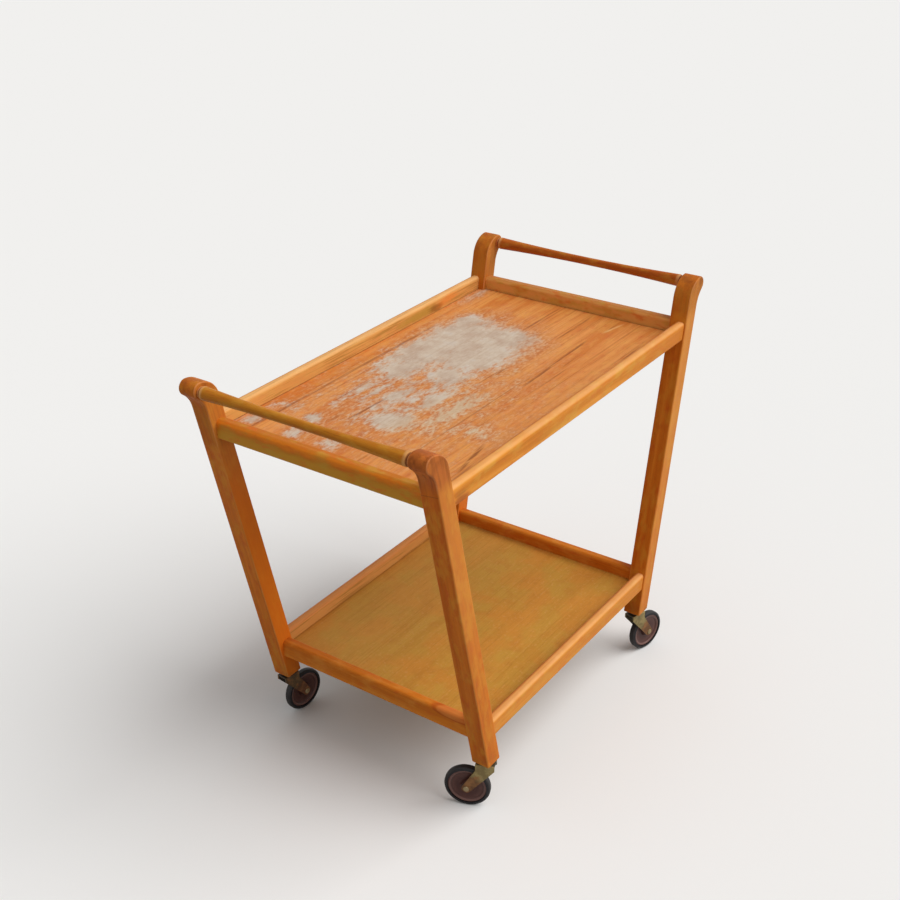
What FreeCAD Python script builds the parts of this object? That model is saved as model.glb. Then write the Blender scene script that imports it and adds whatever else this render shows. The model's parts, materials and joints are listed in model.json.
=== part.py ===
"""Two-tier tea trolley on four swivel castors, as a parametric document.

Millimetres, +Z up. X runs along the trolley from one handle to the other, Y across it, and the
origin is on the floor under its middle. Left is -X, right is +X, front is -Y and back is +Y.
"""
import FreeCAD, Part
import math
import os
import Sketcher
from FreeCAD import Placement, Rotation, Vector

# Driving sizes, in millimetres and degrees

SIZES = {
    # Legs: square stock that leans outwards, with a goose-neck head
    "width_over_legs": 375.0,
    "leg_section": 27.0,
    "leg_lean": 12.0,
    "foot_span": 418.0,
    "leg_edge_round": 2.0,
    "head_rise": 47.7,
    "nose_overhang": 14.5,
    "nose_radius": 11.0,
    "neck_radius": 36.0,
    "back_radius": 33.0,
    # Rails of both trays: the lower one stands above the feet, the upper one above the lower
    "lower_tray_rise": 42.3,
    "tray_spacing": 385.5,
    "rail_height": 26.0,
    "long_rail_thickness": 14.0,
    "long_rail_setback": 2.7,
    "end_rail_thickness": 16.0,
    "end_rail_setback": 6.5,
    "rail_top_round": 5.0,
    "rail_bottom_round": 2.5,
    "round_limit_share": 0.45,
    # Rail tenons, and the mortises in the legs
    "tenon_thickness": 8.0,
    "tenon_top_shoulder": 5.0,
    "tenon_bottom_shoulder": 8.0,
    "long_tenon_length": 11.0,
    "wood_between_tenons": 2.3,
    "mortise_gap": 0.1,
    "mortise_end_gap": 0.8,
    # Panels, held by a tongue in the rails' grooves
    "panel_rise": 7.0,
    "panel_thickness": 4.5,
    "panel_play": 0.2,
    "tongue_thickness": 3.0,
    "tongue_length": 5.0,
    "groove_gap": 0.1,
    "groove_end_gap": 0.5,
    # Turned handle bars
    "bar_drop": 1.2,
    "bar_end_diameter": 18.0,
    "bar_hollow": 3.25,
    "bar_shoulder_round": 2.8,
    "bar_shoulder_land": 1.4,
    "bar_bead_width": 3.6,
    "bar_bead_crown": 1.5,
    "bar_tenon_length": 12.0,
    # Castors: wheel, and the way each one points at rest
    "castor_trail": 25.5,
    "heading_front_left": 111.0,
    "heading_back_left": -6.0,
    "heading_front_right": -14.5,
    "heading_back_right": 14.5,
    "wheel_diameter": 64.0,
    "tyre_width": 10.6,
    "tyre_depth": 5.0,
    "tread_round": 3.4,
    "tyre_seat_gap": 0.05,
    # Wheel disc
    "bead_width": 4.0,
    "bead_crown": 1.2,
    "bead_stand_in": 1.0,
    "web_thickness": 4.0,
    "web_flare": 2.0,
    "hub_diameter": 16.0,
    "hub_side_play": 0.3,
    "disc_round": 0.9,
    # Fork, axle and swivel
    "fork_sheet": 2.0,
    "fork_headroom": 10.0,
    "tyre_side_clearance": 1.8,
    "fork_top_length": 26.0,
    "fork_rear_brow": 11.0,
    "fork_front_brow": 8.0,
    "fork_boss_radius": 6.5,
    "fork_bend_round": 1.6,
    "axle_diameter": 5.0,
    "axle_head_diameter": 8.0,
    "axle_head_height": 1.6,
    "axle_head_round": 1.0,
    "stem_diameter": 8.0,
    "stem_head_diameter": 13.0,
    "stem_head_height": 2.0,
    "stem_tip_round": 1.0,
    "stem_short_of_socket": 1.0,
    "race_diameter": 17.0,
    "race_thickness": 2.2,
    "race_round": 0.8,
    "race_gap": 0.3,
    "socket_flange_diameter": 22.0,
    "socket_flange_thickness": 1.5,
    "socket_wall": 1.4,
    "socket_length": 26.0,
    "running_gap": 0.05,
    "press_gap": 0.02,
    # How far every cut runs past the wood or metal that it opens
    "overrun": 4.0,
}

HALF_TURN = 180.0
FULL_TURN = 360.0
TOLERANCE = 1e-4


# Sizes that carry their formula

class Size:
    """A size worked out from the sheet: its formula for the document, and its value now."""

    def __init__(self, formula, value):
        self.formula = formula
        self.value = value

    def __add__(self, other):
        other = as_size(other)
        return Size(f"({self.formula} + {other.formula})", self.value + other.value)

    def __sub__(self, other):
        other = as_size(other)
        return Size(f"({self.formula} - {other.formula})", self.value - other.value)

    def __mul__(self, other):
        other = as_size(other)
        return Size(f"({self.formula} * {other.formula})", self.value * other.value)

    def __truediv__(self, other):
        other = as_size(other)
        return Size(f"({self.formula} / {other.formula})", self.value / other.value)

    def __neg__(self):
        return Size(f"(-1 * {self.formula})", -self.value)


def as_size(thing):
    return thing if isinstance(thing, Size) else Size(repr(thing), float(thing))


def tangent(angle):
    return Size(f"tan({angle.formula})", math.tan(math.radians(angle.value)))


def cosine(angle):
    return Size(f"cos({angle.formula})", math.cos(math.radians(angle.value)))


def least(one, other):
    return Size(f"min({one.formula}; {other.formula})", min(one.value, other.value))


def arc_over(half_chord, rise):
    """The radius of the arc that rises so far over a chord, given by its half length."""
    return (half_chord * half_chord + rise * rise) / (rise * 2)


class Cells:
    """The sheet's cells by name."""

    def __getattr__(self, name):
        return Size(f"Sizes.{name}", SIZES[name])


cell = Cells()
NONE = as_size(0)

doc = FreeCAD.newDocument("TeaTrolley")
sheet = doc.addObject("Spreadsheet::Sheet", "Sizes")
for row, (alias, number) in enumerate(SIZES.items(), start=1):
    sheet.set(f"A{row}", alias)
    sheet.set(f"B{row}", str(number))
    sheet.setAlias(f"B{row}", alias)
doc.recompute()


# Bodies, sketches and features bound to the sheet

def bind(target, path, size):
    target.setExpression(path, size.formula)


def bind_base(target, path, x, y, z):
    for axis, size in zip("xyz", (x, y, z)):
        bind(target, f"{path}.Base.{axis}", size)


def new_body(label, x=NONE, y=NONE, z=NONE, heading=None, turned=False):
    """A body whose origin is at x, y, z, turned about +Z by a heading or by half a turn."""
    body = doc.addObject("PartDesign::Body", label)
    body.Label = label
    angle = HALF_TURN if turned else 0.0
    if heading is not None:
        angle = heading.value
    body.Placement = Placement(Vector(), Rotation(Vector(0, 0, 1), angle))
    bind_base(body, "Placement", x, y, z)
    if heading is not None:
        bind(body, "Placement.Rotation.Angle", heading)
    return body


def feature(body, kind, name):
    return body.newObject(kind, f"{body.Label}_{name}")


def new_sketch(body, name, plane, x=NONE, y=NONE, z=NONE):
    """A sketch on one of the body's origin planes, moved along that plane's own axes."""
    sketch = feature(body, "Sketcher::SketchObject", name)
    support = [part for part in body.Origin.OriginFeatures if part.Role == plane][0]
    sketch.AttachmentSupport = [(support, "")]
    sketch.MapMode = "FlatFace"
    bind_base(sketch, "AttachmentOffset", x, y, z)
    return sketch


def constrain(sketch, size, *constraint):
    number = sketch.addConstraint(Sketcher.Constraint(*constraint, size.value))
    bind(sketch, f"Constraints[{number}]", size)


def pin(sketch, geometry, point, x, y):
    """Fix one point of a sketch at x, y."""
    for kind, axis, size in (("DistanceX", -2, x), ("DistanceY", -1, y)):
        if size.value > 0:
            constrain(sketch, size, kind, -1, 1, geometry, point)
        elif size.value < 0:
            constrain(sketch, -size, kind, geometry, point, -1, 1)
        else:
            sketch.addConstraint(Sketcher.Constraint("PointOnObject", geometry, point, axis))


def arc_about(centre, radius, start, end):
    """The arc about a centre that runs anticlockwise from start to end."""
    circle = Part.Circle(centre, Vector(0, 0, 1), radius)
    angles = [math.atan2(point.y - centre.y, point.x - centre.x) for point in (start, end)]
    return Part.ArcOfCircle(circle, *angles)


def outline(sketch, corners):
    """A closed outline through pinned corners, anticlockwise.

    A corner is (x, y), or (x, y, radius, side) where an arc of that radius runs on to the next
    corner: side 1 swells out of the outline and side -1 is hollow.
    """
    points = [Vector(corner[0].value, corner[1].value, 0) for corner in corners]
    ends = []
    for corner, start, end in zip(corners, points, points[1:] + points[:1]):
        arc = corner[2:]
        if not arc:
            number = sketch.addGeometry(Part.LineSegment(start, end))
            ends.append((number, 1, 2))
            continue
        radius, side = arc
        chord = end - start
        across = Vector(-chord.y, chord.x, 0).normalize()
        depth = math.sqrt(max(radius.value ** 2 - (chord.Length / 2) ** 2, 0.0))
        centre = (start + end) / 2 + across * (side * depth)
        if side > 0:
            number = sketch.addGeometry(arc_about(centre, radius.value, start, end))
            ends.append((number, 1, 2))
        else:
            number = sketch.addGeometry(arc_about(centre, radius.value, end, start))
            ends.append((number, 2, 1))
    for corner, (number, first, last), following in zip(corners, ends, ends[1:] + ends[:1]):
        sketch.addConstraint(Sketcher.Constraint("Coincident", number, last, following[0], following[1]))
        x, y, *arc = corner
        pin(sketch, number, first, x, y)
        if arc:
            constrain(sketch, arc[0], "Radius", number)


def pad(body, sketch, name, length):
    """Raise a sketch equally to both sides of its plane."""
    solid = feature(body, "PartDesign::Pad", name)
    solid.Profile = sketch
    solid.SideType = "Symmetric"
    bind(solid, "Length", length)
    doc.recompute()
    return solid


def lathe(body, name, corners, plane="XZ_Plane", x=NONE, y=NONE, z=NONE):
    """Turn an outline of (radius, place along the axis) about the sketch's upright axis."""
    sketch = new_sketch(body, name + "_outline", plane, x, y, z)
    outline(sketch, corners)
    solid = feature(body, "PartDesign::Revolution", name)
    solid.Profile = sketch
    solid.ReferenceAxis = (sketch, ["V_Axis"])
    solid.Angle = FULL_TURN
    doc.recompute()
    return solid


def block(body, kind, name, low, high):
    """An additive or subtractive box between two corners."""
    solid = feature(body, f"PartDesign::{kind}Box", name)
    for length, start, end in zip(("Length", "Width", "Height"), low, high):
        bind(solid, length, end - start)
    bind_base(solid, "Placement", *low)
    doc.recompute()
    return solid


def drill(body, name, start, depth, diameter, direction=Vector(0, 0, 1)):
    """A round hole from a point, along a direction."""
    hole = feature(body, "PartDesign::SubtractiveCylinder", name)
    hole.Placement = Placement(Vector(), Rotation(Vector(0, 0, 1), direction))
    bind(hole, "Radius", diameter / 2)
    bind(hole, "Height", depth)
    bind_base(hole, "Placement", *start)
    doc.recompute()
    return hole


def round_edges(body, base, name, radius, chosen):
    """Round the edges of a feature that a test of the edge picks."""
    edges = [f"Edge{n}" for n, edge in enumerate(base.Shape.Edges, start=1) if chosen(edge)]
    rounding = feature(body, "PartDesign::Fillet", name)
    rounding.Base = (base, edges)
    bind(rounding, "Radius", radius)
    doc.recompute()
    return rounding


def near(value, size):
    """Whether a measured value is the size, to within the modelling tolerance."""
    return math.isclose(value, size.value, abs_tol=TOLERANCE)


def is_ring(edge, *radii):
    """Whether an edge is a whole circle, of one of the radii if any are given."""
    if not (isinstance(edge.Curve, Part.Circle) and edge.isClosed()):
        return False
    return not radii or any(near(edge.Curve.Radius, radius) for radius in radii)


# Places that several pieces share, from the floor up

WHEEL_R = cell.wheel_diameter / 2
FORK_UNDER = cell.wheel_diameter + cell.fork_headroom
FORK_TOP = FORK_UNDER + cell.fork_sheet
FLANGE_LOW = FORK_TOP + cell.race_thickness + cell.race_gap
FOOT = FLANGE_LOW + cell.socket_flange_thickness
LOWER_TRAY = FOOT + cell.lower_tray_rise
TOP_TRAY = LOWER_TRAY + cell.tray_spacing
NOSE_HEIGHT = TOP_TRAY + cell.rail_height + cell.head_rise
BAR_HEIGHT = NOSE_HEIGHT - cell.bar_drop
TRAYS = {"top": TOP_TRAY, "lower": LOWER_TRAY}


def leg_middle_x(z):
    """How far from the middle a leg's centre line is, at a height."""
    return cell.foot_span / 2 + (z - FOOT) * tangent(cell.leg_lean)


LEG_HALF_X = cell.leg_section / 2 / cosine(cell.leg_lean)
LEG_Y = (cell.width_over_legs - cell.leg_section) / 2
LEG_INNER_Y = cell.width_over_legs / 2 - cell.leg_section
LONG_RAIL_Y = (cell.width_over_legs - cell.long_rail_thickness) / 2 - cell.long_rail_setback
NOSE_X = leg_middle_x(NOSE_HEIGHT) + cell.nose_overhang
TENON_LOW = cell.tenon_bottom_shoulder
TENON_HIGH = cell.rail_height - cell.tenon_top_shoulder
END_TENON_Y = LONG_RAIL_Y - cell.tenon_thickness / 2 - cell.wood_between_tenons
BAR_TENON_R = cell.bar_end_diameter / 2 - cell.bar_shoulder_round - cell.bar_shoulder_land
SOCKET_BORE_R = cell.stem_diameter / 2 + cell.running_gap
SOCKET_R = SOCKET_BORE_R + cell.socket_wall
PANEL_LOW = cell.panel_rise - cell.panel_thickness


def leg_inner_x(z):
    return leg_middle_x(z) - LEG_HALF_X


def leg_outer_x(z):
    return leg_middle_x(z) + LEG_HALF_X


def end_rail_x(tray):
    """The middle of an end rail, set in from the legs' outer faces at the rail's mid height."""
    return leg_outer_x(tray + cell.rail_height / 2) - cell.end_rail_setback - cell.end_rail_thickness / 2


def long_tenon_x(tray):
    """How far a long rail's tenon reaches."""
    return leg_inner_x(tray + (TENON_LOW + TENON_HIGH) / 2) + cell.long_tenon_length


# Legs

def leg_profile(sketch):
    """The leg seen from the front: straight sides, hollow neck, round nose and rounded back."""
    lean = math.radians(cell.leg_lean.value)
    up = Vector(math.sin(lean), math.cos(lean), 0)
    out = Vector(math.cos(lean), -math.sin(lean), 0)
    half = cell.leg_section.value / 2
    reach = cell.nose_overhang.value * math.cos(lean)
    nose_r, neck_r, back_r = (size.value for size in (cell.nose_radius, cell.neck_radius, cell.back_radius))
    nose = Vector(NOSE_X.value, NOSE_HEIGHT.value, 0)
    neck_out = neck_r - (reach - half)
    back_out = back_r - (reach + half)
    neck = nose + out * neck_out - up * math.sqrt((neck_r + nose_r) ** 2 - neck_out ** 2)
    back = nose + out * back_out - up * math.sqrt((back_r - nose_r) ** 2 - back_out ** 2)
    neck_low = neck - out * neck_r
    neck_high = nose + (neck - nose) * (nose_r / (neck_r + nose_r))
    back_high = nose + (nose - back) * (nose_r / (back_r - nose_r))
    back_low = back - out * back_r
    foot_inner = Vector(leg_inner_x(FOOT).value, FOOT.value, 0)
    foot_outer = Vector(leg_outer_x(FOOT).value, FOOT.value, 0)
    foot_line, outer_line, neck_arc, nose_arc, back_arc, inner_line, middle_line = sketch.addGeometry([
        Part.LineSegment(foot_inner, foot_outer),
        Part.LineSegment(foot_outer, neck_low),
        arc_about(neck, neck_r, neck_high, neck_low),
        arc_about(nose, nose_r, neck_high, back_high),
        arc_about(back, back_r, back_high, back_low),
        Part.LineSegment(back_low, foot_inner),
        Part.LineSegment(Vector(leg_middle_x(FOOT).value, FOOT.value, 0),
                         Vector(leg_middle_x(NOSE_HEIGHT).value, NOSE_HEIGHT.value, 0)),
    ])
    sketch.toggleConstruction(middle_line)
    for constraint in (
            ("Coincident", foot_line, 2, outer_line, 1),
            ("Tangent", outer_line, 2, neck_arc, 2),
            ("Tangent", neck_arc, 1, nose_arc, 1),
            ("Tangent", nose_arc, 2, back_arc, 1),
            ("Tangent", back_arc, 2, inner_line, 1),
            ("Coincident", inner_line, 2, foot_line, 1),
            ("Parallel", outer_line, middle_line),
            ("Parallel", inner_line, middle_line)):
        sketch.addConstraint(Sketcher.Constraint(*constraint))
    pin(sketch, foot_line, 1, leg_inner_x(FOOT), FOOT)
    pin(sketch, foot_line, 2, leg_outer_x(FOOT), FOOT)
    pin(sketch, middle_line, 1, leg_middle_x(FOOT), FOOT)
    pin(sketch, middle_line, 2, leg_middle_x(NOSE_HEIGHT), NOSE_HEIGHT)
    pin(sketch, nose_arc, 3, NOSE_X, NOSE_HEIGHT)
    constrain(sketch, cell.neck_radius, "Radius", neck_arc)
    constrain(sketch, cell.nose_radius, "Radius", nose_arc)
    constrain(sketch, cell.back_radius, "Radius", back_arc)


def make_leg(label, y, inward, turned):
    """One leg of the right end. inward is 1 where the tray lies on its +Y side, else -1."""
    body = new_body(label, y=y, turned=turned)
    sketch = new_sketch(body, "profile", "XZ_Plane")
    leg_profile(sketch)
    solid = pad(body, sketch, "stock", cell.leg_section)
    face = cell.leg_section / 2
    round_edges(body, solid, "edges", cell.leg_edge_round,
                lambda edge: near(abs(edge.CenterOfMass.y), face) or near(edge.CenterOfMass.z, FOOT))

    def across(low, high):
        """A stretch across the leg, from its outer side to its tray side."""
        return (low, high) if inward > 0 else (-high, -low)

    rail_y = LEG_Y - LONG_RAIL_Y
    for name, tray in TRAYS.items():
        low_z = tray + TENON_LOW - cell.mortise_gap
        high_z = tray + TENON_HIGH + cell.mortise_gap
        half = cell.tenon_thickness / 2 + cell.mortise_gap
        low_y, high_y = across(rail_y - half, rail_y + half)
        block(body, "Subtractive", f"{name}_long_mortise",
              (leg_inner_x(low_z) - cell.overrun, low_y, low_z),
              (long_tenon_x(tray) + cell.mortise_end_gap, high_y, high_z))
        low_y, high_y = across(LEG_Y - END_TENON_Y - cell.mortise_end_gap, face + cell.overrun)
        block(body, "Subtractive", f"{name}_end_mortise",
              (end_rail_x(tray) - half, low_y, low_z),
              (end_rail_x(tray) + half, high_y, high_z))
    bar_depth = cell.bar_tenon_length + cell.mortise_end_gap
    bar_low = across(face - bar_depth, face + cell.overrun)[0]
    drill(body, "bar_hole", (NOSE_X, bar_low, BAR_HEIGHT), bar_depth + cell.overrun,
          (BAR_TENON_R + cell.mortise_gap) * 2, Vector(0, 1, 0))
    drill(body, "socket_hole", (leg_middle_x(FOOT), NONE, FOOT - cell.overrun),
          cell.overrun + cell.socket_length + cell.mortise_end_gap, (SOCKET_R + cell.press_gap) * 2)
    return body


# Rails

def round_rail(body, solid, along, thickness):
    """Round a rail's long edges: amply along the top, slightly along the bottom."""
    limit = thickness * cell.round_limit_share

    def runs(edge):
        direction = edge.tangentAt(edge.FirstParameter)
        return near(abs(direction.dot(along)), as_size(1))

    top = round_edges(body, solid, "top_edges", least(cell.rail_top_round, limit),
                      lambda edge: runs(edge) and near(edge.CenterOfMass.z, cell.rail_height))
    round_edges(body, top, "bottom_edges", least(cell.rail_bottom_round, limit),
                lambda edge: runs(edge) and near(edge.CenterOfMass.z, NONE))


GROOVE_LOW = PANEL_LOW - cell.groove_gap
GROOVE_HIGH = PANEL_LOW + cell.tongue_thickness + cell.groove_gap
GROOVE_DEPTH = cell.tongue_length + cell.groove_end_gap - cell.panel_play


def make_long_rail(label, tray, turned):
    """A front rail: its ends lean with the legs that they butt against, its tray side is +Y."""
    body = new_body(label, y=LONG_RAIL_Y if turned else -LONG_RAIL_Y, z=tray, turned=turned)
    sketch = new_sketch(body, "side", "XZ_Plane")
    low_x = leg_inner_x(tray)
    high_x = leg_inner_x(tray + cell.rail_height)
    outline(sketch, [(-low_x, NONE), (low_x, NONE), (high_x, cell.rail_height), (-high_x, cell.rail_height)])
    solid = pad(body, sketch, "stock", cell.long_rail_thickness)
    round_rail(body, solid, Vector(1, 0, 0), cell.long_rail_thickness)
    face = cell.long_rail_thickness / 2
    past = high_x + cell.overrun
    block(body, "Subtractive", "groove", (-past, face - GROOVE_DEPTH, GROOVE_LOW),
          (past, face + cell.overrun, GROOVE_HIGH))
    half = cell.tenon_thickness / 2
    reach = long_tenon_x(tray)
    block(body, "Additive", "tenons", (-reach, -half, TENON_LOW), (reach, half, TENON_HIGH))
    return body


def make_end_rail(label, tray, turned):
    """A right end rail: square ends between the legs, its tray side is -X."""
    body = new_body(label, x=-end_rail_x(tray) if turned else end_rail_x(tray), z=tray, turned=turned)
    face = cell.end_rail_thickness / 2
    solid = block(body, "Additive", "stock", (-face, -LEG_INNER_Y, NONE),
                  (face, LEG_INNER_Y, cell.rail_height))
    round_rail(body, solid, Vector(0, 1, 0), cell.end_rail_thickness)
    past = LEG_INNER_Y + cell.overrun
    block(body, "Subtractive", "groove", (-face - cell.overrun, -past, GROOVE_LOW),
          (-face + GROOVE_DEPTH, past, GROOVE_HIGH))
    half = cell.tenon_thickness / 2
    block(body, "Additive", "tenons", (-half, -END_TENON_Y, TENON_LOW), (half, END_TENON_Y, TENON_HIGH))
    return body


# Panels

def make_panel(label, tray):
    """A tray's bottom: notched round the legs, with a tongue along each side."""
    body = new_body(label, z=tray)
    end_x = end_rail_x(tray) - cell.end_rail_thickness / 2 - cell.panel_play
    side_y = LONG_RAIL_Y - cell.long_rail_thickness / 2 - cell.panel_play
    notch_x = leg_inner_x(tray + PANEL_LOW) - cell.panel_play
    notch_y = LEG_INNER_Y - cell.panel_play
    top = cell.panel_rise
    tongue = PANEL_LOW + cell.tongue_thickness
    for name, x, y, high in (("field", notch_x, side_y, top),
                             ("field_ends", end_x, notch_y, top),
                             ("side_tongues", notch_x, side_y + cell.tongue_length, tongue),
                             ("end_tongues", end_x + cell.tongue_length, notch_y, tongue)):
        block(body, "Additive", name, (-x, -y, PANEL_LOW), (x, y, high))
    return body


# Handle bars

def make_bar(label, turned):
    """A turned bar between two heads: a slim waist, and at each end a shoulder, a bead and a tenon."""
    body = new_body(label, turned=turned)
    end_r = cell.bar_end_diameter / 2
    tip_y = LEG_INNER_Y + cell.bar_tenon_length
    shoulder = cell.bar_shoulder_round
    quirk_r = end_r - shoulder
    bead_y = LEG_INNER_Y - cell.bar_bead_width
    bead_arc = arc_over(cell.bar_bead_width / 2, cell.bar_bead_crown)
    swell_y = bead_y - shoulder
    waist_arc = arc_over(swell_y, cell.bar_hollow)
    lathe(body, "turning", [
        (NONE, -tip_y),
        (BAR_TENON_R, -tip_y),
        (BAR_TENON_R, -LEG_INNER_Y),
        (quirk_r, -LEG_INNER_Y, bead_arc, 1),
        (quirk_r, -bead_y, shoulder, 1),
        (end_r, -swell_y, waist_arc, -1),
        (end_r, swell_y, shoulder, 1),
        (quirk_r, bead_y, bead_arc, 1),
        (quirk_r, LEG_INNER_Y),
        (BAR_TENON_R, LEG_INNER_Y),
        (BAR_TENON_R, tip_y),
        (NONE, tip_y),
    ], "XY_Plane", x=NOSE_X, z=BAR_HEIGHT)
    return body


# Castors: each piece is drawn with the swivel axis upright at the origin and the wheel trailing to +X

FORK_INNER = cell.tyre_width / 2 + cell.tyre_side_clearance
FORK_HALF = FORK_INNER + cell.fork_sheet
STEM_R = cell.stem_diameter / 2
RIM_R = WHEEL_R - cell.tyre_depth


def make_socket(body):
    """The sleeve and flange driven into the leg."""
    flange = cell.socket_flange_diameter / 2
    top = FOOT + cell.socket_length
    lathe(body, "sleeve", [(SOCKET_BORE_R, FLANGE_LOW), (flange, FLANGE_LOW), (flange, FOOT),
                           (SOCKET_R, FOOT), (SOCKET_R, top), (SOCKET_BORE_R, top)])


def make_stem(body):
    """The pin that turns in the socket, headed over under the fork."""
    head = cell.stem_head_diameter / 2
    top = FOOT + cell.socket_length - cell.stem_short_of_socket
    low = FORK_UNDER - cell.stem_head_height
    solid = lathe(body, "pin", [(NONE, low), (head, low), (head, FORK_UNDER), (STEM_R, FORK_UNDER),
                                (STEM_R, top), (NONE, top)])
    round_edges(body, solid, "tip", cell.stem_tip_round,
                lambda edge: is_ring(edge) and near(edge.CenterOfMass.z, top))


def make_race(body):
    """The bearing ring between the fork and the socket's flange."""
    bore = STEM_R + cell.press_gap
    rim = cell.race_diameter / 2
    top = FORK_TOP + cell.race_thickness
    solid = lathe(body, "ring", [(bore, FORK_TOP), (rim, FORK_TOP), (rim, top), (bore, top)])
    round_edges(body, solid, "shoulder", cell.race_round,
                lambda edge: is_ring(edge, rim) and near(edge.CenterOfMass.z, top))


def tangent_point(centre, radius, outside, side):
    """Where a line from an outside point touches a circle, on one side of it."""
    away = outside - centre
    angle = math.atan2(away.y, away.x) + side * math.acos(radius / away.Length)
    return centre + Vector(math.cos(angle), math.sin(angle), 0) * radius


def fork_profile(sketch):
    """A fork arm from the side: a flat top that narrows to a round boss at the axle."""
    half = cell.fork_top_length / 2
    corners = [(half, FORK_TOP - cell.fork_rear_brow), (half, FORK_TOP), (-half, FORK_TOP),
               (-half, FORK_TOP - cell.fork_front_brow)]
    rear, rear_top, front_top, front = (Vector(x.value, z.value, 0) for x, z in corners)
    boss = Vector(cell.castor_trail.value, WHEEL_R.value, 0)
    boss_r = cell.fork_boss_radius.value
    low = tangent_point(boss, boss_r, front, 1)
    high = tangent_point(boss, boss_r, rear, -1)
    boss_arc, rear_edge, rear_brow, crown, front_brow, front_edge = sketch.addGeometry([
        arc_about(boss, boss_r, low, high),
        Part.LineSegment(high, rear),
        Part.LineSegment(rear, rear_top),
        Part.LineSegment(rear_top, front_top),
        Part.LineSegment(front_top, front),
        Part.LineSegment(front, low),
    ])
    for constraint in (
            ("Tangent", boss_arc, 2, rear_edge, 1),
            ("Coincident", rear_edge, 2, rear_brow, 1),
            ("Coincident", rear_brow, 2, crown, 1),
            ("Coincident", crown, 2, front_brow, 1),
            ("Coincident", front_brow, 2, front_edge, 1),
            ("Tangent", front_edge, 2, boss_arc, 1)):
        sketch.addConstraint(Sketcher.Constraint(*constraint))
    for line, (x, z) in zip((rear_brow, crown, front_brow, front_edge), corners):
        pin(sketch, line, 1, x, z)
    pin(sketch, boss_arc, 3, cell.castor_trail, WHEEL_R)
    constrain(sketch, cell.fork_boss_radius, "Radius", boss_arc)


def make_fork(body):
    """A stamped fork: a flat top and two arms, with holes for the stem and the axle."""
    sketch = new_sketch(body, "arm", "XZ_Plane")
    fork_profile(sketch)
    solid = pad(body, sketch, "stamping", FORK_HALF * 2)
    round_edges(body, solid, "bends", cell.fork_bend_round,
                lambda edge: (near(edge.CenterOfMass.z, FORK_TOP)
                              and near(abs(edge.CenterOfMass.y), FORK_HALF)))
    far = cell.castor_trail + cell.fork_boss_radius + cell.overrun
    near_end = cell.fork_top_length / 2 + cell.overrun
    low = WHEEL_R - cell.fork_boss_radius - cell.overrun
    block(body, "Subtractive", "channel", (-near_end, -FORK_INNER, low), (far, FORK_INNER, FORK_UNDER))
    drill(body, "stem_hole", (NONE, NONE, FORK_UNDER - cell.overrun), cell.fork_sheet + cell.overrun * 2,
          cell.stem_diameter + cell.press_gap * 2)
    drill(body, "axle_hole", (cell.castor_trail, -FORK_HALF - cell.overrun, WHEEL_R),
          (FORK_HALF + cell.overrun) * 2, cell.axle_diameter + cell.press_gap * 2, Vector(0, 1, 0))


def make_axle(body):
    """The riveted axle, headed outside both arms."""
    shaft = cell.axle_diameter / 2
    head = cell.axle_head_diameter / 2
    tip = FORK_HALF + cell.axle_head_height
    solid = lathe(body, "rivet", [(NONE, -tip), (head, -tip), (head, -FORK_HALF), (shaft, -FORK_HALF),
                                  (shaft, FORK_HALF), (head, FORK_HALF), (head, tip), (NONE, tip)],
                  "XY_Plane", x=cell.castor_trail, z=WHEEL_R)
    round_edges(body, solid, "heads", cell.axle_head_round,
                lambda edge: is_ring(edge) and near(abs(edge.CenterOfMass.y), tip))


def make_disc(body):
    """The moulded wheel disc: hub, thin web and a crowned bead at the rim."""
    bore = cell.axle_diameter / 2 + cell.running_gap
    hub = cell.hub_diameter / 2
    hub_y = FORK_INNER - cell.hub_side_play
    web_y = cell.web_thickness / 2
    bead_y = cell.tyre_width / 2 - cell.bead_stand_in - cell.bead_crown
    bead = RIM_R - cell.bead_width
    bead_arc = arc_over(cell.bead_width / 2, cell.bead_crown)
    flare = cell.web_flare
    face = [(hub, hub_y), (hub + flare, web_y), (bead - flare, web_y)]
    lower = [(bore, -hub_y)] + [(x, -y) for x, y in face] + [(bead, -bead_y, bead_arc, 1), (RIM_R, -bead_y)]
    upper = [(RIM_R, bead_y, bead_arc, 1), (bead, bead_y)] + face[::-1] + [(bore, hub_y)]
    solid = lathe(body, "moulding", lower + upper, "XY_Plane", x=cell.castor_trail, z=WHEEL_R)
    round_edges(body, solid, "edges", cell.disc_round,
                lambda edge: is_ring(edge, hub))


def make_tyre(body):
    """The rubber tyre round the disc."""
    seat = RIM_R + cell.tyre_seat_gap
    side = cell.tyre_width / 2
    solid = lathe(body, "ring", [(seat, -side), (WHEEL_R, -side), (WHEEL_R, side), (seat, side)],
                  "XY_Plane", x=cell.castor_trail, z=WHEEL_R)
    round_edges(body, solid, "tread", cell.tread_round,
                lambda edge: is_ring(edge, WHEEL_R))


CASTOR_PIECES = {
    "castor_socket": make_socket,
    "castor_stem": make_stem,
    "castor_race": make_race,
    "castor_fork": make_fork,
    "castor_axle": make_axle,
    "wheel_disc": make_disc,
    "wheel_tyre": make_tyre,
}

# The four corners: which end, which side, and the castor's rest heading

CORNERS = {
    "front_left": (-1, -1, cell.heading_front_left),
    "back_left": (-1, 1, cell.heading_back_left),
    "front_right": (1, -1, cell.heading_front_right),
    "back_right": (1, 1, cell.heading_back_right),
}

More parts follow.
